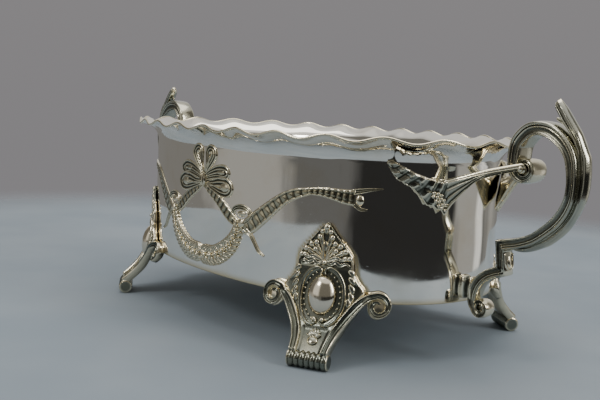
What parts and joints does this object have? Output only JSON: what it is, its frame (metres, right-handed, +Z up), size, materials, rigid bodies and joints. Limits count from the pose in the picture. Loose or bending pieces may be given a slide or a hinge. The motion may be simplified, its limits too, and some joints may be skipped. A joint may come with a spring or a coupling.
{
  "type": "two-handled oval serving bowl",
  "caption": "Oval silver-plated serving bowl with a waved rim, scroll handles on winged brackets and cast cabriole feet.",
  "frame": {"origin": "on the table, under the middle of the bowl, level with the undersides of the four toes", "axes": "+X runs from handle to handle, -Y faces the front, +Z is up"},
  "size_m": [0.3352, 0.1614, 0.12],
  "materials": {
    "bright_silver": "mirror-polished silver plate with a faint warm tone, light scratches and yellow tarnish at the joins",
    "cast_silver": "cast silver plate with polished, slightly brassy high edges and grey-green patina in the recesses",
    "edge_silver": "polished wire with warm wear on its crests"
  },
  "bodies": {
    "root": {"bowl_wall": "bright_silver", "base_plate": "bright_silver", "rim_wire": "edge_silver", "foot_front_right": "cast_silver", "foot_front_left": "cast_silver", "foot_back_right": "cast_silver", "foot_back_left": "cast_silver", "handle_right": "cast_silver", "handle_left": "cast_silver", "thumb_leaf_right": "cast_silver", "thumb_leaf_left": "cast_silver", "wing_right_front": "cast_silver", "wing_right_back": "cast_silver", "wing_left_front": "cast_silver", "wing_left_back": "cast_silver", "eye_bar_right": "cast_silver", "eye_bar_left": "cast_silver", "lower_pad_right": "cast_silver", "lower_pad_left": "cast_silver"}
  },
  "joints": []
}
